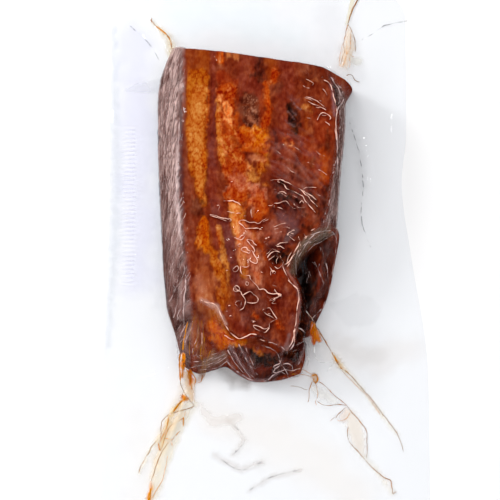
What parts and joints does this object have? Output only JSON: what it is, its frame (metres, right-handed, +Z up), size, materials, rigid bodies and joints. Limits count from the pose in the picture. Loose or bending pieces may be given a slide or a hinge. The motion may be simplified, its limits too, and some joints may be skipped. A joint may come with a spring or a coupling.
{
  "type": "vacuum-packed cured pork belly",
  "caption": "Block of cured, smoked pork belly shrunk into a clear film pouch, with empty film margins and raised corner creases.",
  "frame": {"origin": "middle of the pouch's length and width, on the surface that the pack lies on", "axes": "+X to the pack's right with the rind on the left, +Y along the pack to the straight-cut end, +Z up out of the top face"},
  "size_m": [0.15, 0.255, 0.0414],
  "materials": {
    "smoked_belly": "dark smoked fat and lean, wet and glossy under the film",
    "clear_film": "thin clear glossy film with fine creases",
    "amber_juice": "amber curing juice drawn into the film's creases"
  },
  "bodies": {
    "root": {"vacuum_pack": "smoked_belly"}
  },
  "joints": []
}
